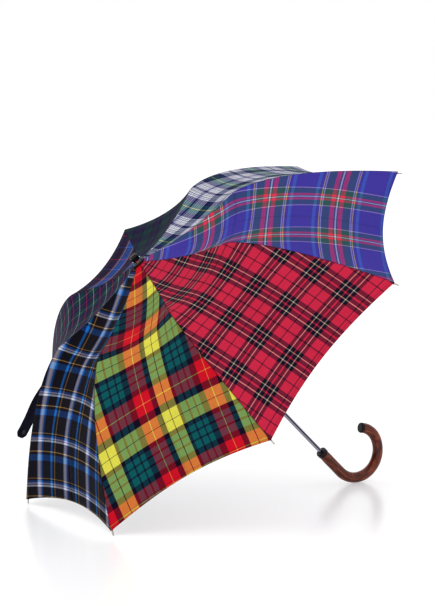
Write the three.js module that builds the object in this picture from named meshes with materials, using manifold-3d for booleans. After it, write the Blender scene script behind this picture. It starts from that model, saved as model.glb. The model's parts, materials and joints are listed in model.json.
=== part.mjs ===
// A crook-handled stick umbrella, open and lying on its rib tips and handle.
// Built in the umbrella's own frame (crown at the origin, +Z along the shaft towards
// the handle, +X on the side that the crook bends to), then laid on the ground.
import * as THREE from 'three';
import { mergeVertices } from 'three/addons/utils/BufferGeometryUtils.js';
import Module from 'manifold-3d';

const wasm = await Module();
wasm.setup();

// Driving dimensions, in millimetres and degrees.
const RIBS = 8;
const SPAN_RADIUS = 480;            // shaft axis to the fabric's corners
const SPAN_DEPTH = 216.7;           // crown to the plane of the corners
const SHOULDER = [222, 22];         // where the inner and outer ribs meet, at the cloth
const SHOULDER_SLOPE = 0.25;        // depth gained per unit of radius, just past it
const CORNER_SLOPE = 1.06;          // the same at the corners
const CROWN_RIM = [10.5, 1.9];       // the cloth's edge at the crown
const CROWN_BULGE = [110, 30];      // control point of the cloth between crown and shoulder
const CLOTH = 1.0;                  // thickness of the cloth solid
const HEM_RISE = 24;                // how far the hem is cut back mid gore
const HEM_SAG = 17;                 // how far the cloth sinks in mid gore, at the hem
const SHOULDER_SAG = 12;            // and besides that over the shoulder
const GAP = 0.3;                    // between pieces that touch

const SHAFT_RADIUS = 4.25;
const SHAFT_BORE = 3.3;
const SHAFT_SEAT = SHAFT_RADIUS + GAP;  // bore of the pieces fixed on the shaft
const SHAFT_TOP = -11;
const SHAFT_END = 604;

const NOTCH_PIVOT = [10, 16];       // inner rib's hinge
const INNER_BOW = [115, 33];        // control point of the inner rib's curve
const INNER_CLOSED = 85;            // inner rib's angle from the radial when folded
const LUG_AT = 192;                 // stretcher's hinge along the inner rib's chord
const LUG_OFFSET = 6;               // and off that chord, on the shaft's side
const STRETCHER = 235;
const RUNNER_PIVOT = 10.5;          // radius of the stretchers' lower hinges
const RIB_WIDTH = 2.4;
const RIB_HEIGHT = 2.4;
const RIB_SINK = 4.2;               // outer rib's centreline below the cloth's face
const EAR = 0.8;                    // thickness of a fork's ear
const PIN_RADIUS = 0.7;
const HOLE_RADIUS = 1.05;
const EYE_RADIUS = 2.0;
const TIP_LENGTH = 7.0;             // corner of the cloth to the ball's centre
const TIP_BALL = 1.7;

const COLLAR_TOP = 566;
const COLLAR_HEIGHT = 10;
const COLLAR_RADIUS = 11.1;
const CAP_LENGTH = 7;
const HANDLE_RADIUS = 10.5;
const CROOK_RADIUS = 53;            // of the crook's centreline
const CROOK_CENTRE = 630;           // its centre's place along the shaft
const CROOK_TURN = 160;             // degrees of the main bend
const CURL_RADIUS = 42;             // the tighter end
const CURL_TURN = 55;

const STRAP_LENGTH = 130;
const STRAP_WIDTH = 30;
const STRAP_RIB = 5;                // counted from 0: the rib that the strap hangs beside
const STRAP_LEAN = [30, 164];       // degrees from plumb, and its heading on the ground
const STRAP_STAND = 9;              // how far its top stands off the cloth's corner
const STRAP_EDGE = [-23, 24];       // rise of its width's line, and its heading

// Places along the shaft, from the crown.
const FERRULE_TOP = -18;
const FERRULE_RADIUS = 8;
const BAND_TOP = -6.2;
const BAND_RADIUS = 9.2;
const WASHER_TOP = -1;
const WASHER_RADIUS = 12.5;
const PATCH = [6.4, 7.4];
const PATCH_RADIUS = 20;
const NOTCH = [8, 24];
const NOTCH_RADIUS = 14;
const RUNNER_HEAD = 6;              // half its height
const RUNNER_TAIL = 45;             // hinge to the runner's lower end
const RUNNER_RADIUS = 14.5;
const SLEEVE_RADIUS = 7.2;
const SLEEVE_BORE = 4.7;
const CATCH_NOSE = 5.8;             // how far a catch stands out from the axis

const rad = (degrees) => THREE.MathUtils.degToRad(degrees);

// ---------------------------------------------------------------- solids and looks

function toSolid(geometry) {
  const bare = geometry.clone();
  for (const name of Object.keys(bare.attributes)) {
    if (name !== 'position') bare.deleteAttribute(name);
  }
  const merged = mergeVertices(bare, 1e-4);
  return new wasm.Manifold(new wasm.Mesh({
    numProp: 3,
    vertProperties: new Float32Array(merged.attributes.position.array),
    triVerts: new Uint32Array(merged.index.array),
  }));
}

function toGeometry(solid) {
  const mesh = solid.getMesh();
  const geometry = new THREE.BufferGeometry();
  geometry.setAttribute('position', new THREE.BufferAttribute(mesh.vertProperties, 3));
  geometry.setIndex(new THREE.BufferAttribute(mesh.triVerts, 1));
  geometry.computeVertexNormals();
  return geometry;
}

function join(first, ...others) {
  return toGeometry(others.reduce((all, g) => all.add(toSolid(g)), toSolid(first)));
}

function cut(first, ...others) {
  return toGeometry(others.reduce((all, g) => all.subtract(toSolid(g)), toSolid(first)));
}

function look(colour, roughness, metalness) {
  return new THREE.MeshStandardMaterial({ color: colour, roughness, metalness });
}

function mesh(name, geometry, material) {
  const made = new THREE.Mesh(geometry, material);
  made.name = name;
  return made;
}

// A box from one point of the rib's plane to another: x is the radius, z the depth.
function bar(from, to, width, height) {
  const length = Math.hypot(to[0] - from[0], to[1] - from[1]);
  const turn = Math.atan2(to[1] - from[1], to[0] - from[0]);
  return new THREE.BoxGeometry(length, width, height)
    .rotateY(-turn)
    .translate((from[0] + to[0]) / 2, 0, (from[1] + to[1]) / 2);
}

// A round pin across the rib's plane, centred at y.
function pin(at, radius, width, y = 0, sides = 10) {
  return new THREE.CylinderGeometry(radius, radius, width, sides)
    .translate(at[0], y, at[1]);
}

// A closed solid of revolution about the shaft's axis, from [radius, z] corners.
function turned(corners, sides = 24) {
  const points = corners.map(([r, z]) => new THREE.Vector2(r, z));
  if (corners[0][0] > 0) points.push(points[0].clone());
  return new THREE.LatheGeometry(points, sides).rotateX(Math.PI / 2);
}

// A ring between two radii and two heights.
function ring(inner, outer, low, high, sides = 24) {
  return turned([[inner, high], [inner, low], [outer, low], [outer, high]], sides);
}

// ---------------------------------------------------------------- the canopy's profile

// Where two lines through a and b, with the given slopes, cross.
function crossing(a, slopeA, b, slopeB) {
  const x = (b[1] - a[1] + slopeA * a[0] - slopeB * b[0]) / (slopeA - slopeB);
  return [x, a[1] + slopeA * (x - a[0])];
}

// A point moved off the profile, towards the shaft and the handle.
function sunk(point, slope, depth) {
  const length = Math.hypot(1, slope);
  return [point[0] - slope / length * depth, point[1] + depth / length];
}

// The curve from the shoulder to the corner, sunk below the cloth's face.
function outerCurve(depth) {
  const start = sunk(SHOULDER, SHOULDER_SLOPE, depth);
  const end = sunk([SPAN_RADIUS, SPAN_DEPTH], CORNER_SLOPE, depth);
  const middle = crossing(start, SHOULDER_SLOPE, end, CORNER_SLOPE);
  return new THREE.QuadraticBezierCurve3(
    new THREE.Vector3(start[0], 0, start[1]),
    new THREE.Vector3(middle[0], 0, middle[1]),
    new THREE.Vector3(end[0], 0, end[1]));
}

const innerCloth = new THREE.QuadraticBezierCurve3(
  new THREE.Vector3(CROWN_RIM[0], 0, CROWN_RIM[1]),
  new THREE.Vector3(CROWN_BULGE[0], 0, CROWN_BULGE[1]),
  new THREE.Vector3(SHOULDER[0], 0, SHOULDER[1]));
const outerCloth = outerCurve(0);
const outerRib = outerCurve(RIB_SINK);
const innerLength = innerCloth.getLength();
const outerLength = outerCloth.getLength();
const seamLength = innerLength + outerLength;

// The cloth over a rib at a distance along the seam: radius, depth and inward normal.
function seamAt(along) {
  const inside = along <= innerLength;
  const curve = inside ? innerCloth : outerCloth;
  const share = inside ? along / innerLength : (along - innerLength) / outerLength;
  const point = curve.getPointAt(Math.min(share, 1));
  const tangent = curve.getTangentAt(Math.min(share, 1));
  return { r: point.x, z: point.z, inR: -tangent.z, inZ: tangent.x };
}

// How far the cloth sinks below its seams half way between two ribs.
function midSag(along) {
  const overShoulder = Math.sin(Math.PI * Math.min(1, along / (2 * innerLength))) ** 2;
  return HEM_SAG * (along / seamLength) ** 2 + SHOULDER_SAG * overShoulder;
}

// ---------------------------------------------------------------- the linkage

const kneePivot = [outerRib.v0.x, outerRib.v0.z];
const innerOpen = Math.atan2(kneePivot[1] - NOTCH_PIVOT[1], kneePivot[0] - NOTCH_PIVOT[0]);
const innerRibLength = Math.hypot(
  kneePivot[0] - NOTCH_PIVOT[0], kneePivot[1] - NOTCH_PIVOT[1]);

// A point of the inner rib with the rib at a given angle from the radial.
function onInnerRib(angle, along, off) {
  return [
    NOTCH_PIVOT[0] + along * Math.cos(angle) - off * Math.sin(angle),
    NOTCH_PIVOT[1] + along * Math.sin(angle) + off * Math.cos(angle),
  ];
}

// The runner's place along the shaft for a given inner rib angle.
function runnerAt(angle) {
  const lug = onInnerRib(angle, LUG_AT, LUG_OFFSET);
  return lug[1] + Math.sqrt(STRETCHER ** 2 - (lug[0] - RUNNER_PIVOT) ** 2);
}

const lugPivot = onInnerRib(innerOpen, LUG_AT, LUG_OFFSET);
const runnerOpen = runnerAt(innerOpen);
const runnerClosed = runnerAt(rad(INNER_CLOSED));
const stretcherEnd = [RUNNER_PIVOT, runnerOpen];

// ---------------------------------------------------------------- ribs

// A fork's two ears with their pin, around an eye of the rib's width.
function fork(at, towards) {
  const direction = new THREE.Vector2(towards[0] - at[0], towards[1] - at[1]).normalize();
  const reach = (distance) => [
    at[0] + direction.x * distance, at[1] + direction.y * distance];
  const side = RIB_WIDTH / 2 + GAP + EAR / 2;
  const parts = [pin(at, PIN_RADIUS, 2 * side + EAR, 0, 8)];
  for (const y of [-side, side]) {
    parts.push(pin(at, EYE_RADIUS, EAR, y));
    parts.push(bar(at, reach(5), EAR, RIB_HEIGHT).translate(0, y, 0));
  }
  parts.push(bar(reach(3.4), reach(5), 2 * side + EAR, RIB_HEIGHT));
  return { parts, root: reach(4) };
}

// A rib's square rod along a quadratic curve between three points of its plane.
function rod(steps, ...points) {
  const half = RIB_WIDTH / 2;
  const section = new THREE.Shape([
    new THREE.Vector2(-half, -half), new THREE.Vector2(half, -half),
    new THREE.Vector2(half, half), new THREE.Vector2(-half, half)]);
  const [a, b, c] = points.map(([x, z]) => new THREE.Vector3(x, 0, z));
  return new THREE.ExtrudeGeometry(section, {
    steps, bevelEnabled: false, extrudePath: new THREE.QuadraticBezierCurve3(a, b, c) });
}

function innerRibGeometry() {
  const lugFoot = onInnerRib(innerOpen, LUG_AT, LUG_OFFSET / 3);
  const body = join(
    rod(12, NOTCH_PIVOT, INNER_BOW, kneePivot),
    pin(NOTCH_PIVOT, EYE_RADIUS, RIB_WIDTH),
    pin(kneePivot, EYE_RADIUS, RIB_WIDTH),
    bar(lugFoot, lugPivot, RIB_WIDTH, 2 * EYE_RADIUS),
    pin(lugPivot, EYE_RADIUS, RIB_WIDTH));
  return cut(body, ...[NOTCH_PIVOT, kneePivot, lugPivot].map(
    (at) => pin(at, HOLE_RADIUS, 2 * RIB_WIDTH, 0, 8)));
}

function outerRibGeometry() {
  const early = outerRib.getPointAt(0.03);
  const { parts } = fork(kneePivot, [early.x, early.z]);
  const clear = outerRib.getPoint(0.018);
  return join(rod(12, ...[clear, outerRib.v1, outerRib.v2].map(({ x, z }) => [x, z])),
    ...parts);
}

function stretcherGeometry() {
  const { parts, root } = fork(lugPivot, stretcherEnd);
  return join(
    bar(root, stretcherEnd, RIB_WIDTH, RIB_HEIGHT),
    pin(stretcherEnd, EYE_RADIUS + 0.3, RIB_WIDTH),
    ...parts);
}

// The socket and ball on a rib's end, turned about the rib's own line.
function tipGeometry() {
  const points = [[0, 0], [1.5, 0], [1.5, TIP_LENGTH - TIP_BALL]]
    .map(([r, z]) => new THREE.Vector2(r, z));
  for (let i = 1; i <= 4; i += 1) {
    const turn = rad(-60 + 150 * i / 4);
    points.push(new THREE.Vector2(
      Math.max(0, TIP_BALL * Math.cos(turn)), TIP_LENGTH + TIP_BALL * Math.sin(turn)));
  }
  points.at(-1).x = 0;
  return new THREE.LatheGeometry(points, 8).rotateX(Math.PI / 2);
}

// ---------------------------------------------------------------- the canopy's gores

// One gore, centred on the +X half plane, as a thin closed shell.
function goreGeometry() {
  const half = Math.PI / RIBS;
  const rows = 12;
  const columns = 6;
  const seamGap = GAP / 2 / Math.cos(half);
  const spot = (along, v, depth) => {
    const seam = seamAt(along);
    const sag = midSag(along) * (1 - v * v) + depth;
    const radius = seam.r + seam.inR * sag;
    return [radius * Math.cos(half), v * (radius * Math.sin(half) - seamGap),
      seam.z + seam.inZ * sag];
  };
  const positions = [];
  for (const depth of [0, CLOTH]) {
    for (let i = 0; i <= rows; i += 1) {
      for (let j = 0; j <= columns; j += 1) {
        const v = 2 * j / columns - 1;
        const end = seamLength - HEM_RISE * (1 - v * v);
        const first = innerLength * Math.min(1, i / 4);
        const along = first + (end - innerLength) * Math.max(0, (i - 4) / (rows - 4));
        positions.push(...spot(along, v, depth));
      }
    }
  }
  const at = (layer, i, j) => (layer * (rows + 1) + i) * (columns + 1) + j;
  const faces = [];
  const quad = (a, b, c, d) => faces.push(a, b, c, a, c, d);
  for (let i = 0; i < rows; i += 1) {
    for (let j = 0; j < columns; j += 1) {
      quad(at(0, i, j), at(0, i, j + 1), at(0, i + 1, j + 1), at(0, i + 1, j));
      quad(at(1, i, j), at(1, i + 1, j), at(1, i + 1, j + 1), at(1, i, j + 1));
    }
    quad(at(0, i, 0), at(0, i + 1, 0), at(1, i + 1, 0), at(1, i, 0));
    quad(at(0, i, columns), at(1, i, columns), at(1, i + 1, columns), at(0, i + 1, columns));
  }
  for (let j = 0; j < columns; j += 1) {
    quad(at(0, 0, j), at(1, 0, j), at(1, 0, j + 1), at(0, 0, j + 1));
    quad(at(0, rows, j), at(0, rows, j + 1), at(1, rows, j + 1), at(1, rows, j));
  }
  const geometry = new THREE.BufferGeometry();
  geometry.setAttribute('position', new THREE.Float32BufferAttribute(positions, 3));
  geometry.setIndex(faces);
  geometry.computeVertexNormals();
  return geometry;
}

// ---------------------------------------------------------------- shaft, crown and catches

// A box centred on a radius, for slots and windows.
function block(x, width, z, height, length) {
  return new THREE.BoxGeometry(length, width, height).translate(x, 0, z);
}

// The same cut made at every rib.
function aroundRibs(make) {
  return Array.from({ length: RIBS }, (_, k) => make().rotateZ(ribAngle(k)));
}

function ribAngle(k) {
  return 2 * Math.PI * (k + 0.5) / RIBS;
}

const catchSize = 12;
const openCatch = runnerOpen + RUNNER_TAIL + 2 + catchSize / 2;
const closedCatch = runnerClosed - RUNNER_HEAD - 2 - catchSize / 2;

function shaftGeometry() {
  return cut(ring(SHAFT_BORE, SHAFT_RADIUS, SHAFT_TOP, SHAFT_END, 20),
    ...[openCatch, closedCatch].map((z) => block(4, 2.4, z, catchSize + 1, 3)));
}

// A wedge whose slope faces the way that the runner comes over it.
function catchGeometry(z, slopeSide) {
  const high = z + slopeSide * catchSize / 2;
  const low = z - slopeSide * catchSize / 2;
  const outline = new THREE.Shape([
    [-1, low], [CATCH_NOSE, low], [CATCH_NOSE, z], [3.6, high], [-1, high],
  ].map(([x, y]) => new THREE.Vector2(x, y)));
  return new THREE.ExtrudeGeometry(outline, { depth: 1.8, bevelEnabled: false })
    .translate(0, 0, -0.9).rotateX(Math.PI / 2);
}

function notchGeometry() {
  const [top, bottom] = NOTCH;
  const body = ring(SHAFT_SEAT, NOTCH_RADIUS, top, bottom, 24);
  const slot = () => block(14.4, RIB_WIDTH + 2 * GAP, (top + 3 + bottom + 1) / 2,
    bottom + 1 - top - 3, 14);
  const wire = new THREE.TorusGeometry(NOTCH_PIVOT[0], 0.98, 8, 24)
    .translate(0, 0, NOTCH_PIVOT[1]);
  return cut(body, ...aroundRibs(slot), wire);
}

function runnerGeometry() {
  const head = runnerOpen - RUNNER_HEAD;
  const neck = runnerOpen + RUNNER_HEAD;
  const tail = runnerOpen + RUNNER_TAIL;
  const body = turned([
    [SLEEVE_BORE, tail], [SLEEVE_BORE, head], [RUNNER_RADIUS, head], [RUNNER_RADIUS, neck],
    [SLEEVE_RADIUS, neck + 1], [SLEEVE_RADIUS, tail - 8], [9, tail - 5], [9, tail]], 24);
  const slot = () => block(14.5, RIB_WIDTH + 4 * GAP, runnerOpen + 0.5, 14, 13.6);
  const keyway = block(5.5, 2.6, (head + tail) / 2, tail - head + 2, 2);
  return cut(body, ...aroundRibs(slot), keyway);
}

// ---------------------------------------------------------------- the crook

const handleStart = COLLAR_TOP + COLLAR_HEIGHT + GAP;
const mainBend = rad(CROOK_TURN);
const curlFrom = Math.PI - mainBend;
const curlCentre = [
  CROOK_RADIUS + (CROOK_RADIUS - CURL_RADIUS) * Math.cos(curlFrom),
  CROOK_CENTRE + (CROOK_RADIUS - CURL_RADIUS) * Math.sin(curlFrom)];

// The crook's centreline: straight, then the main bend, then a tighter curl.
class CrookLine extends THREE.Curve {
  getPoint(share, target = new THREE.Vector3()) {
    const straight = CROOK_CENTRE - handleStart;
    const bend = CROOK_RADIUS * mainBend;
    const curl = CURL_RADIUS * rad(CURL_TURN);
    const along = share * (straight + bend + curl);
    if (along < straight) return target.set(0, 0, handleStart + along);
    if (along < straight + bend) {
      const angle = Math.PI - (along - straight) / CROOK_RADIUS;
      return target.set(CROOK_RADIUS * (1 + Math.cos(angle)), 0,
        CROOK_CENTRE + CROOK_RADIUS * Math.sin(angle));
    }
    const angle = curlFrom - (along - straight - bend) / CURL_RADIUS;
    return target.set(curlCentre[0] + CURL_RADIUS * Math.cos(angle), 0,
      curlCentre[1] + CURL_RADIUS * Math.sin(angle));
  }
}

function crookGeometry() {
  const circle = new THREE.Shape().absarc(0, 0, HANDLE_RADIUS, 0, 2 * Math.PI, false);
  const body = new THREE.ExtrudeGeometry(circle, {
    steps: 34, curveSegments: 7, bevelEnabled: false, extrudePath: new CrookLine() });
  const bore = new THREE.CylinderGeometry(SHAFT_SEAT, SHAFT_SEAT, 40, 16)
    .rotateX(Math.PI / 2).translate(0, 0, SHAFT_END + GAP - 20);
  return cut(body, bore);
}

function endCap() {
  const line = new CrookLine();
  const cap = turned([[0, GAP], [HANDLE_RADIUS, GAP], [HANDLE_RADIUS, 4.5], [9.6, CAP_LENGTH - 0.6],
    [8, CAP_LENGTH], [0, CAP_LENGTH]], 18);
  const angle = curlFrom - rad(CURL_TURN);
  const away = new THREE.Vector3(Math.sin(angle), 0, -Math.cos(angle));
  const made = mesh('handle_end_cap', cap, look(0x1d0f0c, 0.45, 0));
  made.position.copy(line.getPoint(1));
  made.quaternion.setFromUnitVectors(new THREE.Vector3(0, 0, 1), away);
  return made;
}

// ---------------------------------------------------------------- assembly

const steel = look(0xb9bcc4, 0.22, 1);
const blackSteel = look(0x2a2b30, 0.4, 0.8);
const blackPlastic = look(0x17171b, 0.45, 0);
const wood = look(0x6b2f1c, 0.35, 0);
const GORE_COLOURS = [
  0x8d93b0, 0x33409a, 0xa02434, 0x7d8a3e, 0x1c2f52, 0x2c3f46, 0x27265a, 0x28424c];
const gores = GORE_COLOURS.map((colour) => look(colour, 0.8, 0));
const strapCloth = look(0x1a1c33, 0.85, 0);

const umbrella = new THREE.Group();
umbrella.add(
  mesh('shaft_tube', shaftGeometry(), steel),
  mesh('crown_ferrule', turned([
    [0, FERRULE_TOP], [4.5, FERRULE_TOP], [7, FERRULE_TOP + 1.5],
    [FERRULE_RADIUS, FERRULE_TOP + 4], [FERRULE_RADIUS, BAND_TOP - GAP],
    [SHAFT_SEAT, BAND_TOP - GAP], [SHAFT_SEAT, SHAFT_TOP - GAP],
    [0, SHAFT_TOP - GAP]]), blackPlastic),
  mesh('crown_band', ring(SHAFT_SEAT, BAND_RADIUS, BAND_TOP, WASHER_TOP - GAP), steel),
  mesh('crown_washer', ring(SHAFT_SEAT, WASHER_RADIUS, WASHER_TOP, WASHER_TOP + 2.4), blackPlastic),
  mesh('crown_patch', ring(SHAFT_SEAT, PATCH_RADIUS, ...PATCH), strapCloth),
  mesh('top_notch', notchGeometry(), blackPlastic),
  mesh('notch_wire', new THREE.TorusGeometry(NOTCH_PIVOT[0], 0.7, 6, 24)
    .translate(0, 0, NOTCH_PIVOT[1]), steel),
  mesh('handle_collar', turned([
    [SHAFT_SEAT, COLLAR_TOP + COLLAR_HEIGHT], [SHAFT_SEAT, COLLAR_TOP],
    [COLLAR_RADIUS - 1, COLLAR_TOP], [COLLAR_RADIUS, COLLAR_TOP + 1.5],
    [COLLAR_RADIUS, COLLAR_TOP + COLLAR_HEIGHT - 1],
    [COLLAR_RADIUS - 0.5, COLLAR_TOP + COLLAR_HEIGHT]]), look(0x1d0f0c, 0.4, 0)),
  mesh('crook_handle', crookGeometry(), wood),
  endCap(),
  mesh('runner', runnerGeometry(), blackPlastic),
  mesh('open_catch', catchGeometry(openCatch, 1), steel),
  mesh('closed_catch', catchGeometry(closedCatch, -1), steel));

// A group whose origin is a hinge in the rib's plane, holding meshes made about the crown.
function hinged(name, at, ...held) {
  const pivot = new THREE.Group();
  pivot.name = name;
  pivot.position.set(at[0], 0, at[1]);
  for (const each of held) {
    each.position.x -= at[0];
    each.position.z -= at[1];
    pivot.add(each);
  }
  return pivot;
}

const innerRib = innerRibGeometry();
const outerRibShape = outerRibGeometry();
const stretcher = stretcherGeometry();
const tip = tipGeometry();
const gore = goreGeometry();
for (let k = 0; k < RIBS; k += 1) {
  const plane = new THREE.Group();
  plane.rotation.z = ribAngle(k);
  const number = k + 1;
  const ball = mesh(`rib_tip_${number}`, tip, look(0xb8b6ae, 0.35, 0.6));
  const end = outerRib.v2;
  const slope = Math.atan(CORNER_SLOPE);
  ball.position.set(end.x + GAP * Math.cos(slope), 0, end.z + GAP * Math.sin(slope));
  ball.rotation.y = Math.PI / 2 - slope;
  const knee = hinged(`knee_${number}`, kneePivot,
    mesh(`outer_rib_${number}`, outerRibShape, blackSteel), ball);
  const lug = hinged(`lug_${number}`, lugPivot,
    mesh(`stretcher_${number}`, stretcher, blackSteel));
  plane.add(hinged(`root_${number}`, NOTCH_PIVOT,
    mesh(`inner_rib_${number}`, innerRib, blackSteel), knee, lug));
  umbrella.add(plane);

  const cloth = mesh(`canopy_gore_${number}`, gore, gores[k]);
  cloth.rotation.z = ribAngle(k) - Math.PI / RIBS;
  umbrella.add(cloth);
}

// The tie strap and its press stud hang from the corner of the cloth over one rib.
function strap() {
  const [tilt, heading] = STRAP_LEAN.map(rad);
  const [rise, edgeHeading] = STRAP_EDGE.map(rad);
  const down = new THREE.Vector3(Math.sin(tilt) * Math.cos(heading),
    Math.sin(tilt) * Math.sin(heading), -Math.cos(tilt));
  const across = new THREE.Vector3(Math.cos(rise) * Math.cos(edgeHeading),
    Math.cos(rise) * Math.sin(edgeHeading), Math.sin(rise));
  across.addScaledVector(down, -across.dot(down)).normalize();
  const face = new THREE.Vector3().crossVectors(down, across);
  const group = new THREE.Group();
  group.name = 'strap';
  group.quaternion.setFromRotationMatrix(new THREE.Matrix4().makeBasis(down, across, face));
  const half = STRAP_WIDTH / 2;
  const outline = new THREE.Shape([
    [0, -half], [STRAP_LENGTH - 8, -half], [STRAP_LENGTH, -half + 8],
    [STRAP_LENGTH, half - 8], [STRAP_LENGTH - 8, half], [0, half],
  ].map(([x, y]) => new THREE.Vector2(x, y)));
  const band = new THREE.ExtrudeGeometry(outline, { depth: 1.2, bevelEnabled: false });
  const stud = new THREE.CylinderGeometry(5, 5.5, 2, 16).rotateX(Math.PI / 2)
    .translate(STRAP_LENGTH - 14, 0, 1.2 + GAP + 1);
  group.add(mesh('tie_strap', band, strapCloth), mesh('tie_strap_stud', stud, steel));
  return group;
}

// Laid on the ground: the crook's underside and the tips either side of -X touch it.
const tipReach = Math.hypot(1, CORNER_SLOPE);
const ballLine = TIP_LENGTH + GAP;
const ballRadius = outerRib.v2.x + ballLine / tipReach;
const ballDepth = outerRib.v2.z + ballLine * CORNER_SLOPE / tipReach;
const apart = [
  CROOK_RADIUS + ballRadius * Math.cos(Math.PI / RIBS), CROOK_CENTRE - ballDepth];
const lean = Math.acos((CROOK_RADIUS + HANDLE_RADIUS - TIP_BALL) / Math.hypot(...apart))
  - Math.atan2(apart[1], apart[0]);
umbrella.quaternion.setFromRotationMatrix(new THREE.Matrix4().makeBasis(
  new THREE.Vector3(Math.sin(lean), 0, Math.cos(lean)),
  new THREE.Vector3(0, -1, 0),
  new THREE.Vector3(Math.cos(lean), 0, -Math.sin(lean))));

const part = new THREE.Group();
part.add(umbrella);
part.updateMatrixWorld(true);
const hung = sunk([SPAN_RADIUS, SPAN_DEPTH], CORNER_SLOPE, -STRAP_STAND);
const corner = new THREE.Vector3(hung[0], 0, hung[1])
  .applyAxisAngle(new THREE.Vector3(0, 0, 1), ribAngle(STRAP_RIB))
  .applyMatrix4(umbrella.matrixWorld);
const strapGroup = strap();
strapGroup.position.copy(corner);
part.add(strapGroup);
part.updateMatrixWorld(true);
const box = new THREE.Box3().setFromObject(part, true);
for (const child of part.children) {
  child.position.x -= (box.min.x + box.max.x) / 2;
  child.position.y -= (box.min.y + box.max.y) / 2;
  child.position.z -= box.min.z;
}

export default part;
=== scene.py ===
# Looks of an open crook-handled umbrella with eight tartan gores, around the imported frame.
# Metres. The umbrella's own frame has its origin at the crown, +Z along the shaft towards
# the handle and +X on the side that the crook bends to.
import json
import math
import bpy
import numpy as np
from mathutils import Matrix, Vector


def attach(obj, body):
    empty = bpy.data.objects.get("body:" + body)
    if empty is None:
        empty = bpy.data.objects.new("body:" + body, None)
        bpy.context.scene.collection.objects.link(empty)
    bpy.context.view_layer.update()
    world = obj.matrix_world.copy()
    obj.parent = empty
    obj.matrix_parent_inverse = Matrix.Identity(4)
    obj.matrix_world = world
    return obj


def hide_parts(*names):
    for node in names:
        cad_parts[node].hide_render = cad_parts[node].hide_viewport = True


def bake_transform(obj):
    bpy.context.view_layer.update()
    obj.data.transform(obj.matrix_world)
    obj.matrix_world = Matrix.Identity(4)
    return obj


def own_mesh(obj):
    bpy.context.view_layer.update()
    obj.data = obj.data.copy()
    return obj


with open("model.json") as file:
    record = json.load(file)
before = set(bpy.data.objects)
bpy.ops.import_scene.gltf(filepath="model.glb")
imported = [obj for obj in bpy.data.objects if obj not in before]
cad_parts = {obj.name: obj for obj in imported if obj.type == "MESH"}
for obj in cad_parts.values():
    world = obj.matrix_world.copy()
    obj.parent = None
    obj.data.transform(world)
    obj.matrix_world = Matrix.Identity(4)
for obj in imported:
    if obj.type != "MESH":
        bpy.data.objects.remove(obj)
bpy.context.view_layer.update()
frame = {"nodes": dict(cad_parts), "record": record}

MM = 0.001
RIBS = 8
HALF_ANGLE = math.pi / RIBS
SPAN_RADIUS, SPAN_DEPTH = 480 * MM, 216.7 * MM
SHOULDER = (222 * MM, 22 * MM)
SHOULDER_SLOPE = 0.25
CORNER_SLOPE = 1.06
CROWN_RIM = (10.5 * MM, 1.9 * MM)
CROWN_BULGE = (110 * MM, 30 * MM)
HEM_RISE = 24 * MM
HEM_SAG = 17 * MM
SHOULDER_SAG = 12 * MM
FERRULE_HEIGHT = 18 * MM
CLOTH_TOP = 0.25 * MM           # depth of the cloth's outer face below the CAD shell's
CLOTH_THICK = 0.35 * MM
FOLD_THICK = 0.45 * MM          # added where a hem or seam is folded
HEM_WIDTH = 8 * MM
SEAM_WIDTH = 4 * MM
SHAFT_RADIUS = 4.25 * MM
COLLAR_TOP = 566 * MM
COLLAR_HEIGHT = 10 * MM
GAP = 0.3 * MM
HANDLE_RADIUS = 10.5 * MM
CROOK_RADIUS = 53 * MM
CROOK_CENTRE = 630 * MM
CROOK_TURN = math.radians(160)
CURL_RADIUS = 42 * MM
CURL_TURN = math.radians(55)


# ------------------------------------------------------------------ the umbrella's frame

def umbrella_matrix():
    """The umbrella's own frame in the row's frame, from the ferrule's mount."""
    mount = next(m for m in frame["record"]["mounts"] if m["name"] == "ferrule_face")
    along = -Vector(mount["axis"]).normalized()
    across = Vector((0, -1, 0))
    origin = Vector(mount["pos_m"]) + along * FERRULE_HEIGHT
    side = across.cross(along).normalized()
    return Matrix.Translation(origin) @ Matrix((side, across, along)).transposed().to_4x4()


TO_ROW = umbrella_matrix()


def rib_angle(k):
    return 2 * math.pi * (k + 0.5) / RIBS


# ------------------------------------------------------------------ camera, floor and light

CAMERA_LENS = 132.45            # millimetres, on a 36 mm sensor
CAMERA_PLACE = Vector((-2.1056, -3.7458, 0.8270))
CAMERA_RIGHT = Vector((0.8717, -0.4896, -0.0206))
CAMERA_UP = Vector((0.0683, 0.0797, 0.9945))
CAMERA_FORWARD = Vector((0.4852, 0.8683, -0.1029))
FAR_CLIP = 60
KEY_POWER, FILL_POWER = 26, 5   # watts


def place_camera():
    data = bpy.data.cameras.new("camera")
    data.lens, data.sensor_width, data.sensor_fit = CAMERA_LENS, 36, "AUTO"
    data.clip_end = FAR_CLIP
    camera = bpy.data.objects.new("camera", data)
    bpy.context.scene.collection.objects.link(camera)
    turn = Matrix((CAMERA_RIGHT, CAMERA_UP, -CAMERA_FORWARD)).transposed().to_4x4()
    camera.matrix_world = Matrix.Translation(CAMERA_PLACE) @ turn
    bpy.context.scene.camera = camera


def area_light(name, place, towards, size, power):
    data = bpy.data.lights.new(name, "AREA")
    data.shape, data.size, data.energy = "DISK", size, power
    lamp = bpy.data.objects.new(name, data)
    bpy.context.scene.collection.objects.link(lamp)
    lamp.location = place
    lamp.rotation_euler = (Vector(towards) - Vector(place)).to_track_quat("-Z", "Y").to_euler()


def light_the_room():
    world = bpy.data.worlds.new("studio")
    bpy.context.scene.world = world
    world.use_nodes = True
    background = world.node_tree.nodes["Background"]
    background.inputs["Color"].default_value = (1, 1, 1, 1)
    background.inputs["Strength"].default_value = 1.0
    area_light("key", (-2.6, -1.6, 3.2), (0, 0, 0.3), 2.2, KEY_POWER)
    area_light("fill", (0.8, -3.6, 1.6), (0, 0, 0.3), 2.5, FILL_POWER)
    bpy.context.scene.view_settings.view_transform = "Standard"


# ------------------------------------------------------------------ shader helpers

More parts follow.
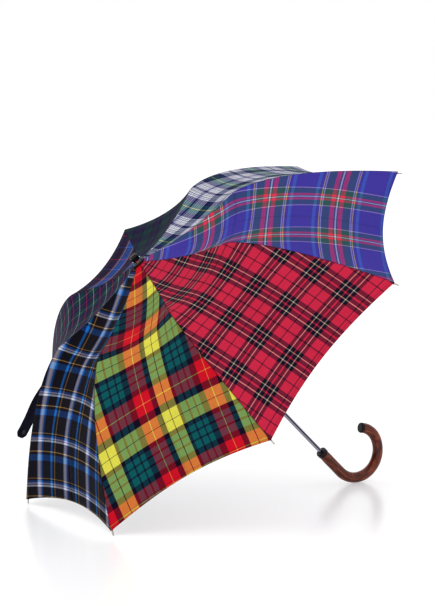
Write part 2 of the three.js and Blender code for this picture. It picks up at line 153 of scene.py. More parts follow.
def linear(colour):
    """A display colour from 0 to 255 as the linear colour that a socket takes."""
    return tuple((c / 255) ** 2.2 for c in colour) + (1,)


class Shader:
    """A material with a Principled BSDF, and short ways to add and join nodes."""

    def __init__(self, name, **sockets):
        self.material = bpy.data.materials.new(name)
        self.material.use_nodes = True
        self.tree = self.material.node_tree
        self.bsdf = self.tree.nodes["Principled BSDF"]
        for key, value in sockets.items():
            self.bsdf.inputs[key.replace("_", " ")].default_value = value

    def put(self, socket, value):
        if isinstance(value, bpy.types.NodeSocket):
            self.tree.links.new(value, socket)
        elif value is not None:
            socket.default_value = value

    def node(self, kind, *inputs, output=0, **settings):
        made = self.tree.nodes.new("ShaderNode" + kind)
        for key, value in settings.items():
            setattr(made, key, value)
        for socket, value in zip(made.inputs, inputs):
            self.put(socket, value)
        return made.outputs[output]

    def math(self, operation, a, b=None, c=None):
        return self.node("Math", a, b, c, operation=operation)

    def place(self):
        return self.node("TexCoord", output=3)

    def noise(self, scale, detail=3, rough=0.5, stretch=None, distortion=0, where=None):
        where = where or self.place()
        if stretch:
            where = self.node("Mapping", where, (0, 0, 0), (0, 0, 0), stretch)
        made = self.tree.nodes.new("ShaderNodeTexNoise")
        self.put(made.inputs["Vector"], where)
        for key, value in (("Scale", scale), ("Detail", detail), ("Roughness", rough),
                           ("Distortion", distortion)):
            made.inputs[key].default_value = value
        return made.outputs["Fac"]

    def ramp(self, value, stops, interpolation="LINEAR"):
        made = self.tree.nodes.new("ShaderNodeValToRGB")
        made.color_ramp.interpolation = interpolation
        elements = made.color_ramp.elements
        elements.remove(elements[1])
        elements[0].position, elements[0].color = stops[0]
        for position, colour in stops[1:]:
            elements.new(position).color = colour
        self.put(made.inputs["Fac"], value)
        return made.outputs["Color"]

    def mix(self, share, a, b, blend="MIX"):
        made = self.tree.nodes.new("ShaderNodeMix")
        made.data_type, made.blend_type = "RGBA", blend
        self.put(made.inputs[0], share)
        self.put(made.inputs[6], a)
        self.put(made.inputs[7], b)
        return made.outputs[2]

    def between(self, value, low, high):
        """value from 0..1 mapped on to low..high."""
        return self.node("MapRange", value, 0.0, 1.0, low, high)

    def colour(self, value):
        self.put(self.bsdf.inputs["Base Color"], value)

    def roughness(self, value):
        self.put(self.bsdf.inputs["Roughness"], value)

    def bump(self, height, strength, distance):
        made = self.tree.nodes.new("ShaderNodeBump")
        made.inputs["Strength"].default_value = strength
        made.inputs["Distance"].default_value = distance
        self.put(made.inputs["Height"], height)
        self.put(self.bsdf.inputs["Normal"], made.outputs["Normal"])


# ------------------------------------------------------------------ tartans

THREADS = {
    "red": (216, 44, 74), "crimson": (218, 20, 42), "black": (24, 20, 38),
    "cream": (250, 225, 190), "yellow": (240, 234, 84), "navy": (22, 12, 36),
    "teal": (12, 92, 96), "ink": (12, 6, 22), "blue": (16, 84, 160),
    "sky": (20, 150, 255), "lilac": (190, 190, 232), "white": (240, 242, 250),
    "gold": (238, 178, 78), "violet": (70, 60, 166), "bottle": (50, 90, 90),
    "rose": (250, 56, 88), "azure": (64, 116, 214), "tan": (222, 196, 206),
    "mustard": (230, 200, 84), "marine": (26, 24, 82), "fir": (6, 70, 74),
    "lemon": (214, 216, 76), "moss": (22, 58, 60), "plum": (40, 24, 72),
    "cherry": (225, 40, 80), "pearl": (225, 222, 235), "night": (28, 12, 48),
    "royal": (40, 134, 255), "forest": (22, 56, 58), "dusk": (36, 24, 68),
    "pitch": (16, 14, 34),
}


THREAD_PITCH = 0.9 * MM
THREAD_WANDER = 0.9 * MM
STITCH_PITCH = 3.2 * MM
STITCH_SHARE = 0.72             # of the stitch pitch that is thread
STITCH_HALF_WIDTH = 0.35 * MM
DYE = (0.75, 0.75, 0.75, 1)     # how much of the light the dyed threads give back


def mirrored(half):
    """A stripe sequence that runs out of its centre and back: [(millimetres, thread), ...]."""
    return list(reversed(half)) + half


def set_of(period, start, stripes):
    total = sum(width for width, _ in stripes)
    assert abs(total - period) < 0.6, (period, total)
    return {"period": period, "start": start, "stripes": stripes}


def centred(period, centre, half):
    return set_of(period, centre - period / 2, mirrored(half))


RED_WARP = [(1.6, "red"), (8.3, "black"), (1.6, "cream"), (8.5, "black"), (18.6, "red"),
            (1.0, "black")]
RED_WEFT = [(1.6, "red"), (6.9, "black"), (1.6, "cream"), (6.3, "black"), (17.0, "red"),
            (0.9, "black")]
YELLOW_WARP = [
    (16.5, "yellow"), (1.5, "navy"), (17, "yellow"), (12, "navy"), (17.2, "crimson"),
    (1.5, "yellow"), (17.3, "crimson"), (14, "navy"), (10, "teal"), (4, "navy"),
    (12, "teal"), (4, "navy"), (13, "teal"), (8, "navy")]
YELLOW_WEFT = [
    (18.2, "yellow"), (1.5, "navy"), (17.3, "yellow"), (9, "navy"), (10, "teal"),
    (4, "navy"), (11, "teal"), (4, "navy"), (13, "teal"), (11, "navy"), (20.2, "crimson"),
    (1.5, "yellow"), (18.3, "crimson"), (15, "navy")]
BLUE_WARP = [
    (5, "blue"), (2, "sky"), (4, "lilac"), (6, "white"), (3, "lilac"), (2, "blue"),
    (33, "ink"), (1, "gold"), (1, "ink"), (1, "gold"), (6, "ink"), (3, "blue"),
    (5, "sky"), (2, "blue"), (27, "ink")]
BLUE_WEFT = [
    (1.5, "gold"), (5.5, "ink"), (12, "blue"), (34, "ink"), (1, "gold"), (4, "ink"),
    (4, "blue"), (3.3, "lilac"), (1.2, "ink"), (3.5, "white"), (18, "ink")]
VIOLET_WARP = [(1.3, "white"), (2.7, "bottle"), (6, "rose"), (14, "bottle"), (2, "violet"),
               (2.2, "tan"), (36.3, "violet")]
VIOLET_WEFT = [
    (1.3, "white"), (2.7, "bottle"), (8, "rose"), (14, "bottle"), (0.7, "violet"),
    (2.2, "lilac"), (1.3, "violet"), (2.1, "mustard"), (5.7, "violet"), (6, "azure"),
    (20, "violet")]
WHITE_WARP = [(2, "fir"), (12, "marine"), (4, "white"), (1.5, "marine"), (4, "white"),
              (1.5, "marine"), (5, "white"), (1.5, "marine"), (4, "white"), (1, "marine"),
              (4.5, "white"), (1.5, "marine"), (3, "lilac"), (3, "marine")]
WHITE_WEFT = [(0.8, "lemon"), (11.2, "fir"), (13, "marine"), (3, "white"), (1.2, "marine"),
              (3, "white"), (1.8, "marine"), (4, "white"), (1.2, "marine"), (3, "white"),
              (0.8, "marine"), (2, "white"), (3.5, "marine")]
PLUM_WARP = [(0.8, "cherry"), (8, "plum"), (10.2, "moss"), (0.8, "tan"), (10.2, "moss"),
             (9, "plum")]
PLUM_WEFT = [(1.6, "cherry"), (7, "plum"), (10.4, "moss"), (1.6, "pearl"), (10.4, "moss"),
             (8, "plum")]
ROYAL_WARP = [(1, "cherry"), (26, "night"), (1, "royal"), (24, "dusk"), (1, "cherry"),
              (26, "night"), (1, "royal"), (24, "dusk")]
ROYAL_WEFT = [
    (1.5, "cherry"), (3.5, "night"), (4, "pearl"), (5, "royal"), (1.5, "night"),
    (6, "royal"), (2, "night"), (5, "royal"), (1.5, "night"), (6, "royal"),
    (1.5, "night"), (4.5, "royal"), (3, "night"), (4, "pearl"), (4.5, "night"),
    (1.5, "cherry"), (49, "night")]
DARK_SET = [(20, "forest"), (3, "pitch"), (18, "dusk"), (3, "pitch")]

# Gores in order round the canopy: warp runs from the crown to the hem, weft across.
TARTANS = [
    (centred(97, 0, WHITE_WARP), centred(97, 157, WHITE_WEFT)),
    (centred(129, 57, VIOLET_WARP), centred(128, 265, VIOLET_WEFT)),
    (centred(79.2, 37.9, RED_WARP), centred(68.6, 300.4, RED_WEFT)),
    (set_of(148, -35, YELLOW_WARP), set_of(154, 208, YELLOW_WEFT)),
    (set_of(101, -9, BLUE_WARP), set_of(88, 218, BLUE_WEFT)),
    (set_of(39, 0, PLUM_WARP), set_of(39, 117.3, PLUM_WEFT)),
    (set_of(104, -30, ROYAL_WARP), set_of(104, 103, ROYAL_WEFT)),
    (set_of(44, 4, DARK_SET), set_of(44, 18, DARK_SET)),
]


LEAN_FROM = 420                 # millimetres from the crown where a leaning warp is centred
BLUE_BEND = 190                 # and where the blue gore's warp bends


def warp_lean(gore, v):
    """How far the warp stands off the gore's centreline at distance v, in metres. Three
    gores are cut off the thread, and the blue one's warp also bends at BLUE_BEND."""
    mm = v / MM
    if gore == 1:
        lean = -0.07 * (mm - LEAN_FROM)
    elif gore == 3:
        lean = 0.045 * (mm - LEAN_FROM)
    elif gore == 4:
        lean = np.where(mm > BLUE_BEND, 0.175 * (mm - 330), -24.5 - 0.25 * (mm - BLUE_BEND))
    else:
        lean = 0 * mm
    return lean * MM


def tape(shader, coordinate, threads):
    """The colour of the thread at a coordinate, before the display curve."""
    shifted = shader.math("SUBTRACT", coordinate, threads["start"] * MM)
    share = shader.math("FRACT", shader.math("DIVIDE", shifted, threads["period"] * MM))
    stops, at = [], 0
    total = sum(width for width, _ in threads["stripes"])
    for width, thread in threads["stripes"]:
        colour = tuple(c / 255 for c in THREADS[thread]) + (1,)
        if not stops or stops[-1][1] != colour:
            stops.append((at / total, colour))
        at += width
    return shader.ramp(share, stops, "CONSTANT")


def tartan_material(gore):
    warp, weft = TARTANS[gore]
    s = Shader(f"tartan_{gore + 1}", Specular_IOR_Level=0.05)
    cloth = s.node("Attribute", output=1, attribute_name="cloth")
    across, along, _ = (s.node("SeparateXYZ", cloth, output=i) for i in range(3))
    edge = s.node("Attribute", output=1, attribute_name="edge")
    to_seam, to_hem = (s.node("SeparateXYZ", edge, output=i) for i in range(2))
    # Each thread wanders a little, so stripe edges aren't ruled lines.
    wander = s.math("MULTIPLY", s.math("SUBTRACT", s.noise(90, 2, where=cloth), 0.5),
                    THREAD_WANDER)
    across = s.math("ADD", across, wander)
    along = s.math("ADD", along, wander)
    twill = s.math("SINE", s.math("MULTIPLY", s.math("ADD", across, along),
                                  2 * math.pi / THREAD_PITCH))
    share = s.math("MULTIPLY_ADD", twill, 0.08, 0.5)
    woven = s.mix(share, tape(s, across, warp), tape(s, along, weft))
    slub = s.between(s.noise(700, 2, stretch=(1, 0.15, 1), where=cloth), 0.9, 1.08)
    worn = s.between(s.noise(14, 3), 0.95, 1.04)
    shade = s.math("MULTIPLY", slub, worn)
    # painted shade: the cloth darkens within 1.6 mm of each seam, standing in for the shade of
    # the ridge over the rib
    seam = s.node("MapRange", to_seam, 0.0002, 0.0016, 0.62, 1.0)
    stitch = s.math("LESS_THAN", s.math("ABSOLUTE", s.math(
        "SUBTRACT", to_hem, HEM_WIDTH * 0.8)), STITCH_HALF_WIDTH)
    dashes = s.math("LESS_THAN", s.math("FRACT", s.math("DIVIDE", across, STITCH_PITCH)),
                    STITCH_SHARE)
    stitched = s.math("MULTIPLY", stitch, dashes)
    shade = s.math("MULTIPLY", shade, seam)
    shade = s.math("MULTIPLY", shade, s.between(stitched, 1.0, 0.6))
    grey = s.node("CombineColor", shade, shade, shade)
    woven = s.mix(1.0, woven, grey, "MULTIPLY")
    dyed = s.mix(1.0, s.node("Gamma", woven, 2.2), DYE, "MULTIPLY")
    s.colour(dyed)
    s.roughness(s.between(s.noise(260, 2, where=cloth), 0.6, 0.78))
    height = s.math("ADD", s.math("MULTIPLY", twill, 0.4), s.math("MULTIPLY", stitched, -1.5))
    s.bump(height, 0.35, 0.00012)
    return s.material


# ------------------------------------------------------------------ the canopy's surface

CURVE_STEPS = 400
KINK_EASE = (6 * MM, 30 * MM)   # how far the shoulder is rounded: at the seams, and mid gore
EASE_FADE = 60 * MM             # the rounding dies out this near to the crown and the corner
EASE_TAPS = 9
WEFT_BOW = 0.52                 # metres that the weft bows per square metre across
WEFT_BOW_FROM = 150             # millimetres from the crown, and over as much again


def bezier(points):
    t = np.linspace(0, 1, CURVE_STEPS)[:, None]
    a, b, c = (np.array(p) for p in points)
    return (1 - t) ** 2 * a + 2 * t * (1 - t) * b + t ** 2 * c


def outer_control():
    """Where the seam's tangents at the shoulder and at the corner cross."""
    x = (SPAN_DEPTH - SHOULDER[1] + SHOULDER_SLOPE * SHOULDER[0]
         - CORNER_SLOPE * SPAN_RADIUS) / (SHOULDER_SLOPE - CORNER_SLOPE)
    return (x, SHOULDER[1] + SHOULDER_SLOPE * (x - SHOULDER[0]))


def lengths(points):
    return np.concatenate([[0], np.cumsum(np.hypot(*np.diff(points, axis=0).T))])


inner_line = bezier([CROWN_RIM, CROWN_BULGE, SHOULDER])
outer_line = bezier([SHOULDER, outer_control(), (SPAN_RADIUS, SPAN_DEPTH)])
INNER_LENGTH = lengths(inner_line)[-1]
seam_line = np.concatenate([inner_line, outer_line[1:]])
seam_s = lengths(seam_line)
SEAM_LENGTH = seam_s[-1]
seam_slope = np.gradient(seam_line, axis=0)
seam_slope /= np.hypot(*seam_slope.T)[:, None]


def seam_at(s):
    """Radius, depth and inward normal of the seam at distances s from the crown's rim."""
    r, z = (np.interp(s, seam_s, seam_line[:, i]) for i in range(2))
    in_r, in_z = (np.interp(s, seam_s, v) for v in (-seam_slope[:, 1], seam_slope[:, 0]))
    return r, z, in_r, in_z


def mid_sag(s):
    over_shoulder = np.sin(math.pi * np.minimum(1, s / (2 * INNER_LENGTH))) ** 2
    return HEM_SAG * (s / SEAM_LENGTH) ** 2 + SHOULDER_SAG * over_shoulder


def flat_lengths():
    """Distance down the middle of a gore for distances along its seam, leaving out the
    small extra length of the dip over the shoulder."""
    s = np.linspace(0, SEAM_LENGTH, 600)
    r, z, in_r, in_z = seam_at(s)
    sag = HEM_SAG * (s / SEAM_LENGTH) ** 2
    line = np.stack([(r + in_r * sag) * math.cos(HALF_ANGLE), z + in_z * sag], 1)
    return s, lengths(line)


FLAT_S, FLAT_V = flat_lengths()


def gore_point(gore, s, w, depth):
    """A point of a gore: w is -1 to 1 from seam to seam, and depth is below its face.
    The kink over the shoulder is rounded, most of all in mid gore."""
    reach = (KINK_EASE[0] + KINK_EASE[1] * (1 - w ** 2)) * np.minimum(
        1, np.minimum(s, SEAM_LENGTH - s) / EASE_FADE)
    radius, height = 0, 0
    taps = np.linspace(-1, 1, EASE_TAPS)
    weights = np.cos(taps * math.pi / 2.4)
    weights /= weights.sum()
    for tap, weight in zip(taps, weights):
        at = s + tap * reach
        r, z, in_r, in_z = seam_at(at)
        sink = mid_sag(at) * (1 - w ** 2) + depth
        radius = radius + weight * (r + in_r * sink)
        height = height + weight * (z + in_z * sink)
    x, y = radius * math.cos(HALF_ANGLE), w * radius * math.sin(HALF_ANGLE)
    turn = 2 * math.pi * gore / RIBS
    return np.stack([x * math.cos(turn) - y * math.sin(turn),
                     x * math.sin(turn) + y * math.cos(turn), height], -1)


def thickness(to_seam, to_hem):
    """The cloth's thickness, more where the hem is folded and the seams are sewn."""
    hem = np.clip((HEM_WIDTH - to_hem) / (1.5 * MM), 0, 1)
    seam = np.clip((SEAM_WIDTH - to_seam) / (1.5 * MM), 0, 1)
    return CLOTH_THICK + FOLD_THICK * np.maximum(hem, seam)


def flat_place(gore, s, w):
    """Where a point of a gore lies in its weave: across the warp and along it."""
    r = seam_at(s)[0]
    across = w * r * math.sin(HALF_ANGLE)
    v = np.interp(s, FLAT_S, FLAT_V)
    bow = WEFT_BOW * across ** 2 * np.clip((v / MM - WEFT_BOW_FROM) / WEFT_BOW_FROM, 0, 1)
    return across, across - warp_lean(gore, v), v - bow


def sector(name, rib, part, materials):
    """The cloth within half a gore of one rib, between two distances from the crown's rim,
    as a thin closed shell whose weave runs in the flat frame of each gore."""
    low, high, rows, columns = part
    vertices, faces, smooth, slots = [], [], [], []
    cloth, edges = [], []
    sides = [(rib, np.linspace(0, 1, columns + 1)),
             ((rib + 1) % RIBS, np.linspace(-1, 0, columns + 1))]
    share = np.linspace(0, 1, rows + 1)[:, None]
    grids = []
    for gore, w in sides:
        w = w[None, :] + 0 * share
        hem = SEAM_LENGTH - HEM_RISE * (1 - w ** 2)
        end = hem if high == SEAM_LENGTH else high + 0 * w
        s = low + share * (end - low)
        across, weave_u, weave_v = flat_place(gore, s, w)
        to_seam = (1 - np.abs(w)) * seam_at(s)[0] * math.sin(HALF_ANGLE)
        to_hem = hem - s
        thick = thickness(to_seam, to_hem)
        grids.append([gore_point(gore, s, w, CLOTH_TOP + 0 * s),
                      gore_point(gore, s, w, CLOTH_TOP + thick),
                      weave_u, weave_v, to_seam, to_hem])
    width = 2 * columns + 1
    layer = (rows + 1) * width
    for side in (0, 1):
        left, right = grids[0][side], grids[1][side]
        vertices += np.concatenate([left, right[:, 1:]], 1).reshape(-1, 3).tolist()

    def add(corners, half, where, is_sheet):
        faces.append(corners)
        smooth.append(is_sheet)
        slots.append(half)
        _, _, u, v, to_seam, to_hem = grids[half]
        for i, j in where:
            column = j - half * columns
            cloth.append((u[i, column], v[i, column], 0))
            edges.append((to_seam[i, column], to_hem[i, column], 0))

    def at(side, i, j):
        return side * layer + i * width + j

    for i in range(rows):
        for j in range(width - 1):
            half = 0 if j < columns else 1
            ring = [(i, j), (i + 1, j), (i + 1, j + 1), (i, j + 1)]
            add([at(0, *c) for c in ring], half, ring, True)
            ring = ring[::-1]
            add([at(1, *c) for c in ring], half, ring, True)
    border = ([(0, j) for j in range(width)] + [(i, width - 1) for i in range(1, rows + 1)]
              + [(rows, j) for j in range(width - 2, -1, -1)]
              + [(i, 0) for i in range(rows - 1, 0, -1)])
    for a, b in zip(border, border[1:] + border[:1]):
        half = 0 if min(a[1], b[1]) < columns else 1
        add([at(0, *a), at(0, *b), at(1, *b), at(1, *a)], half, [a, b, b, a], False)
    mesh = bpy.data.meshes.new(name)
    mesh.from_pydata([TO_ROW @ Vector(v) for v in vertices], [], faces)
    mesh.polygons.foreach_set("use_smooth", smooth)
    mesh.polygons.foreach_set("material_index", slots)
    for label, values in (("cloth", cloth), ("edge", edges)):
        attribute = mesh.attributes.new(label, "FLOAT_VECTOR", "CORNER")
        attribute.data.foreach_set("vector", np.array(values, np.float32).reshape(-1))
    for gore, _ in sides:
        mesh.materials.append(materials[gore])
    mesh.validate()
    made = bpy.data.objects.new(name, mesh)
    bpy.context.scene.collection.objects.link(made)
    return made


def sheet_sizes(low, high):
    """A sector's flat width and length, and its flat area."""
    s = np.linspace(low, high, 200)
    widths = 2 * seam_at(s)[0] * math.sin(HALF_ANGLE)
    v = np.interp(s, FLAT_S, FLAT_V)
    area = float(np.sum((widths[1:] + widths[:-1]) / 2 * np.diff(v)))
    if high == SEAM_LENGTH:
        area -= 0.5 * HEM_RISE * float(widths.max())
    length = float(v[-1] - v[0])
    return (float(widths.max()), length), min(area, 0.99 * length * float(widths.max()))


# The canopy's three rings: from and to along the seam, and the mesh's rows and columns.
CROWN_END = 34 * MM
RINGS = {
    "crown": (0, CROWN_END, 8, 18),
    "inner": (CROWN_END, INNER_LENGTH, 20, 18),
    "outer": (INNER_LENGTH, SEAM_LENGTH, 30, 22),
}


def fasten(cloth, part, number):
    """The cloth at the crown is not attached to a rib; its placement is baked into its mesh.
    Further out it rides on its rib, in a mesh of its own."""
    if part == "crown":
        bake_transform(cloth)
        return
    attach(cloth, f"{part}_rib_{number}")
    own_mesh(cloth)


def make_canopy():
    materials = [tartan_material(gore) for gore in range(RIBS)]
    for rib in range(RIBS):
        number = rib + 1
        for part, ring in RINGS.items():
            cloth = sector(f"canopy_{part}_{number}", rib, ring, materials)
            fasten(cloth, part, number)
            if part == "outer":
                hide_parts(f"canopy_gore_{number}")
            flat, area = sheet_sizes(ring[0], ring[1])


# ------------------------------------------------------------------ metal, plastic and wood

SCRATCH_SCALE = 900


def metal_material(name, colour, roughness):
    s = Shader(name, Metallic=1.0)
    tone = s.noise(45, 3)
    dark = tuple(c * 0.82 for c in colour)
    s.colour(s.ramp(tone, [(0.3, linear(dark)), (0.7, linear(colour))]))
    fine = s.noise(SCRATCH_SCALE, 2, stretch=(1, 1, 0.12))
    s.roughness(s.between(fine, roughness * 0.7, roughness * 1.5))
    s.bump(fine, 0.08, 0.0001)
    return s.material


def fluted_material(name, land, flute_reflection):
    """Steel with a painted dark reflection in its flutes; the groove attribute says how deep in
    one a point is.
    """
    s = Shader(name, Metallic=1.0)
    groove = s.node("Attribute", output=2, attribute_name="groove")
    # painted reflection: the colour darkens towards the bottom of each flute, varied a little
    # by noise
    flute_reflection_share = s.math("MULTIPLY_ADD", s.math("SUBTRACT", s.noise(70, 3), 0.5), 0.25, groove)
    s.colour(s.ramp(flute_reflection_share, [(0.12, linear(land)), (0.45, linear(flute_reflection))]))
    fine = s.noise(SCRATCH_SCALE, 2, stretch=(1, 1, 0.12))
    s.roughness(s.between(fine, 0.14, 0.3))
    s.bump(fine, 0.08, 0.0001)
    return s.material


def plastic_material(name, colour, roughness):
    s = Shader(name, Specular_IOR_Level=0.2, Coat_Weight=0.06, Coat_Roughness=0.08)
    tone = s.noise(60, 4)
    dark = tuple(c * 0.75 for c in colour)
    s.colour(s.ramp(tone, [(0.3, linear(dark)), (0.7, linear(colour))]))
    s.roughness(s.between(s.noise(500, 2), roughness * 0.75, roughness * 1.3))
    s.bump(s.noise(1400, 2), 0.06, 0.0001)
    return s.material


def paint_material(name, colour):
    s = Shader(name, Metallic=0.35, Coat_Weight=0.2, Coat_Roughness=0.2)
    worn = s.noise(120, 5, 0.65)
    light = tuple(min(255, c * 1.7 + 12) for c in colour)
    s.colour(s.ramp(worn, [(0.35, linear(colour)), (0.75, linear(light))]))
    s.roughness(s.between(s.noise(420, 3), 0.28, 0.5))
    s.bump(s.noise(800, 2), 0.08, 0.0001)
    return s.material


def weave_material(name, colour):
    s = Shader(name, Roughness=0.8, Specular_IOR_Level=0.08)
    where = s.place()
    x, y, z = (s.node("SeparateXYZ", where, output=i) for i in range(3))
    turns = 2 * math.pi / THREAD_PITCH
    first = s.math("SINE", s.math("MULTIPLY", s.math("ADD", x, z), turns))
    second = s.math("SINE", s.math("MULTIPLY", s.math("ADD", y, z), turns))
    weave = s.math("MULTIPLY", first, second)
    tone = s.math("ADD", s.math("MULTIPLY", weave, 0.15), s.noise(160, 3))
    light = tuple(c * 1.35 + 6 for c in colour)
    s.colour(s.ramp(tone, [(0.3, linear(colour)), (0.75, linear(light))]))
    s.bump(weave, 0.3, 0.00015)
    return s.material


def wood_material(name, dark, middle, light):
    """Polished wood: streaks along the grain, crossed by a mottled figure. The grain
    attribute holds a point's place across the grain, and then along it."""
    s = Shader(name, Coat_Weight=0.22, Coat_Roughness=0.07, Specular_IOR_Level=0.18)
    grain = s.node("Attribute", output=1, attribute_name="grain")
    figure = s.noise(60, 4, 0.6, stretch=(1, 1, 0.45), distortion=1.2, where=grain)
    streaks = s.noise(520, 4, 0.65, stretch=(1, 1, 0.07), where=grain)
    tone = s.math("ADD", s.math("MULTIPLY", figure, 0.5), s.math("MULTIPLY", streaks, 0.5))
    s.colour(s.ramp(tone, [(0.38, linear(dark)), (0.5, linear(middle)), (0.62, linear(light))]))
    s.roughness(s.between(streaks, 0.28, 0.42))
    s.bump(streaks, 0.12, 0.00015)
    return s.material


def end_wood_material(name, colour):
    """Near-black polished wood, for the crook's collar and cap."""
    s = Shader(name, Coat_Weight=0.12, Coat_Roughness=0.1, Specular_IOR_Level=0.12)
    tone = s.noise(260, 4, 0.6)
    light = tuple(c * 1.8 + 4 for c in colour)
    s.colour(s.ramp(tone, [(0.35, linear(colour)), (0.7, linear(light))]))
    s.roughness(s.between(tone, 0.25, 0.45))
    s.bump(tone, 0.08, 0.0001)
    return s.material


def smooth_by_angle(mesh, degrees=32):
    mesh.polygons.foreach_set("use_smooth", [True] * len(mesh.polygons))
    mesh.set_sharp_from_angle(angle=math.radians(degrees))


def dress(node, material):
    mesh = frame["nodes"][node].data
    smooth_by_angle(mesh)
    mesh.materials.clear()
    mesh.materials.append(material)


# ------------------------------------------------------------------ shaft and crook

def swept(name, line, rings):
    """A closed skin over rings: line gives (centre, right, up) at each ring, rings its
    outline."""
    count = len(rings[0])
    vertices, faces = [], []
    for (centre, right, up), outline in zip(line, rings):
        vertices += [TO_ROW @ (centre + right * a + up * b) for a, b in outline]
    for i in range(len(line) - 1):
        for j in range(count):
            k = (j + 1) % count
            faces.append([i * count + j, i * count + k, (i + 1) * count + k,
                          (i + 1) * count + j])
    last = (len(line) - 1) * count
    faces.append(list(range(count))[::-1])
    faces.append([last + j for j in range(count)])
    mesh = bpy.data.meshes.new(name)
    mesh.from_pydata(vertices, [], faces)
    smooth_by_angle(mesh, 40)
    made = bpy.data.objects.new(name, mesh)
    bpy.context.scene.collection.objects.link(made)
    return made


FLUTES = 4
FLUTE_DEPTH = 0.35 * MM
SHAFT_ENDS = (-10.9 * MM, 575 * MM)
FLUTE_ENDS = (46 * MM, 552 * MM)
FLUTE_RUN_OUT = 6 * MM
SHAFT_SIDES, CROOK_SIDES = 96, 48
CROOK_STEPS = 150


def make_shaft(material):
    """A tube with four shallow lengthwise flutes, plain at its two ends."""
    flutes, around = FLUTES, SHAFT_SIDES
    first, last = FLUTE_ENDS
    places = [SHAFT_ENDS[0], first - FLUTE_RUN_OUT, first, 300 * MM, last,
              last + FLUTE_RUN_OUT, SHAFT_ENDS[1]]
    line, rings = [], []
    for i, z in enumerate(places):
        deep = FLUTE_DEPTH if 2 <= i <= 4 else 0
        outline = []
        for j in range(around):
            turn = 2 * math.pi * j / around
            radius = SHAFT_RADIUS - deep * max(0.0, math.cos(flutes * turn)) ** 2
            outline.append((radius * math.cos(turn), radius * math.sin(turn)))
        line.append((Vector((0, 0, z)), Vector((1, 0, 0)), Vector((0, 1, 0))))
        rings.append(outline)
    shaft = swept("shaft_fluted", line, rings)
    # the groove share marks where the shaft's material paints its dark reflection
    groove = shaft.data.attributes.new("groove", "FLOAT", "POINT")
    groove.data.foreach_set("value", [
        max(0.0, math.cos(flutes * 2 * math.pi * j / around)) for _ in places
        for j in range(around)])
    shaft.data.materials.append(material)
    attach(shaft, "shaft")
    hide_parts("shaft_tube")


def crook_line():
    """The crook's centreline: straight, then the main bend, then a tighter curl."""
    start = COLLAR_TOP + COLLAR_HEIGHT + GAP
    straight, bend = CROOK_CENTRE - start, CROOK_RADIUS * CROOK_TURN
    curl = CURL_RADIUS * CURL_TURN
    turned = math.pi - CROOK_TURN
    across = Vector((0, 1, 0))
    line = []
    for i in range(CROOK_STEPS + 1):
        along = (straight + bend + curl) * i / CROOK_STEPS
        if along < straight:
            centre, heading = Vector((0, 0, start + along)), Vector((0, 0, 1))
        else:
            if along < straight + bend:
                angle = math.pi - (along - straight) / CROOK_RADIUS
                centre = Vector((CROOK_RADIUS * (1 + math.cos(angle)), 0,
                                 CROOK_CENTRE + CROOK_RADIUS * math.sin(angle)))
            else:
                angle = turned - (along - straight - bend) / CURL_RADIUS
                hub = CROOK_RADIUS - CURL_RADIUS
                centre = Vector((
                    CROOK_RADIUS + hub * math.cos(turned) + CURL_RADIUS * math.cos(angle), 0,
                    CROOK_CENTRE + hub * math.sin(turned) + CURL_RADIUS * math.sin(angle)))
            heading = Vector((math.sin(angle), 0, -math.cos(angle)))
        line.append((centre, across.cross(heading), across, along / (straight + bend + curl)))
    return line


def make_crook(material):
    """The crook, a little slimmer where it meets its collar and its cap, and not quite even."""
    around = CROOK_SIDES
    line, rings = [], []
    for centre, right, up, share in crook_line():
        ends = max(0.0, 1 - share / 0.05) ** 2 + max(0.0, 1 - (1 - share) / 0.03) ** 2
        radius = HANDLE_RADIUS * (1 - 0.05 * ends + 0.008 * math.sin(31 * share))
        outline = [(radius * math.cos(2 * math.pi * j / around),
                    radius * math.sin(2 * math.pi * j / around)) for j in range(around)]
        line.append((centre, right, up))
        rings.append(outline)
    crook = swept("crook", line, rings)
    length = sum((b[0] - a[0]).length for a, b in zip(line, line[1:]))
    grain = crook.data.attributes.new("grain", "FLOAT_VECTOR", "POINT")
    grain.data.foreach_set("vector", [
        value for i, ring in enumerate(rings) for a, b in ring
        for value in (a, b, length * i / (len(rings) - 1))])
    crook.data.materials.append(material)
    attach(crook, "shaft")
    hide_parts("crook_handle")


# ------------------------------------------------------------------ the tie strap

STRAP_LENGTH, STRAP_WIDTH = 130 * MM, 30 * MM
STRAP_RIB = 5
STRAP_LEAN = (math.radians(30), math.radians(164))    # from plumb, and its heading
STRAP_EDGE = (math.radians(-23), math.radians(24))    # rise and heading of its width
STRAP_STAND = 9 * MM
STRAP_THICK = 1.2 * MM
STRAP_TAPER = 8 * MM            # length of its narrowing end
STRAP_BOW = 3 * MM              # how far its middle bows, and its edges cup
STRAP_CUP = 1.2 * MM
STRAP_WELT = (4 * MM, 0.25 * MM)    # width and height of its stitched border


def strap_basis():
    """The strap's top, and its directions down, across and out of its face."""
    tilt, heading = STRAP_LEAN
    down = Vector((math.sin(tilt) * math.cos(heading), math.sin(tilt) * math.sin(heading),
                   -math.cos(tilt)))
    rise, edge = STRAP_EDGE
    across = Vector((math.cos(rise) * math.cos(edge), math.cos(rise) * math.sin(edge),
                     math.sin(rise)))
    across = (across - down * across.dot(down)).normalized()
    reach = math.hypot(1, CORNER_SLOPE)
    angle = rib_angle(STRAP_RIB)
    radius = SPAN_RADIUS + CORNER_SLOPE / reach * STRAP_STAND
    depth = SPAN_DEPTH - STRAP_STAND / reach
    top = TO_ROW @ Vector((radius * math.cos(angle), radius * math.sin(angle), depth))
    return top, down, across, down.cross(across)


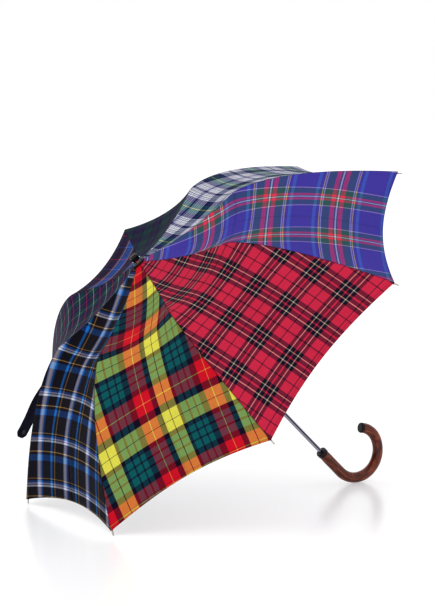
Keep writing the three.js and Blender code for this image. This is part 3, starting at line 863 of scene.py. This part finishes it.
def make_strap(material):
    """A folded and top-stitched strap that bows a little between its hem and its stud."""
    top, down, across, face = strap_basis()
    rows, columns = 40, 14
    half = STRAP_WIDTH / 2
    vertices, faces = [], []
    for layer in (0, 1):
        for i in range(rows + 1):
            along = STRAP_LENGTH * i / rows
            share = i / rows
            trim = max(0.0, along - (STRAP_LENGTH - STRAP_TAPER))
            bow = -STRAP_BOW * math.sin(math.pi * min(1, share / 0.72)) ** 2
            for j in range(columns + 1):
                side = 2 * j / columns - 1
                cup = -STRAP_CUP * side ** 2 * math.sin(math.pi * min(1, share / 0.8))
                welt = STRAP_WELT[1] if half - abs(side) * half < STRAP_WELT[0] else 0
                lift = (STRAP_THICK - 0.3 * MM + welt) * layer + 0.1 * MM
                vertices.append(top + down * along + across * side * (half - trim)
                                + face * (bow + cup + lift))
    width = columns + 1
    size = (rows + 1) * width
    for i in range(rows):
        for j in range(columns):
            ring = [i * width + j, (i + 1) * width + j, (i + 1) * width + j + 1,
                    i * width + j + 1]
            faces.append(ring[::-1])
            faces.append([size + v for v in ring])
    border = ([j for j in range(width)] + [i * width + columns for i in range(1, rows + 1)]
              + [rows * width + j for j in range(columns - 1, -1, -1)]
              + [i * width for i in range(rows - 1, 0, -1)])
    for a, b in zip(border, border[1:] + border[:1]):
        faces.append([a, b, size + b, size + a])
    mesh = bpy.data.meshes.new("strap")
    mesh.from_pydata(vertices, [], faces)
    smooth_by_angle(mesh, 45)
    mesh.materials.append(material)
    strap = bpy.data.objects.new("strap", mesh)
    bpy.context.scene.collection.objects.link(strap)
    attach(strap, "outer_rib_6")
    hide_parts("tie_strap")


# ------------------------------------------------------------------ floor

def make_floor():
    s = Shader("studio_floor", Roughness=0.22, Specular_IOR_Level=0.45,
               Emission_Color=(1, 1, 1, 1), Emission_Strength=0.3)
    tone = s.noise(3, 2)
    s.colour(s.ramp(tone, [(0.3, (0.8, 0.8, 0.81, 1)), (0.7, (0.82, 0.82, 0.83, 1))]))
    mesh = bpy.data.meshes.new("floor")
    size = 25
    mesh.from_pydata([(-size, -size, 0), (size, -size, 0), (size, size, 0), (-size, size, 0)],
                     [], [[0, 1, 2, 3]])
    mesh.materials.append(s.material)
    floor = bpy.data.objects.new("floor", mesh)
    floor.location.z = -0.3 * MM
    bpy.context.scene.collection.objects.link(floor)


# ------------------------------------------------------------------ everything together

def dress_nodes():
    bright = metal_material("bright_metal", (205, 207, 214), 0.16)
    black = plastic_material("black_plastic", (18, 17, 21), 0.35)
    crown = plastic_material("crown_black", (8, 7, 12), 0.2)
    ribs = paint_material("rib_paint", (30, 31, 36))
    tips = metal_material("tip_metal", (190, 186, 176), 0.3)
    dark_wood = end_wood_material("dark_wood", (16, 6, 6))
    lining = weave_material("lining_cloth", (26, 28, 52))
    for node in ("crown_band", "notch_wire", "open_catch", "closed_catch"):
        dress(node, bright)
    for node in ("top_notch", "runner", "tie_strap_stud"):
        dress(node, black)
    for node in ("crown_ferrule", "crown_washer"):
        dress(node, crown)
    for node in ("handle_collar", "handle_end_cap"):
        dress(node, dark_wood)
    dress("crown_patch", lining)
    for number in range(1, RIBS + 1):
        for part in ("inner_rib", "outer_rib", "stretcher"):
            dress(f"{part}_{number}", ribs)
        dress(f"rib_tip_{number}", tips)


place_camera()
light_the_room()
make_floor()
make_canopy()
# the second colour is the painted dark reflection in the shaft's flutes
make_shaft(fluted_material("fluted_steel", (158, 154, 170), (34, 28, 42)))
make_crook(wood_material("crook_wood", (34, 10, 8), (92, 36, 20), (160, 76, 38)))
make_strap(weave_material("strap_cloth", (10, 10, 24)))
dress_nodes()
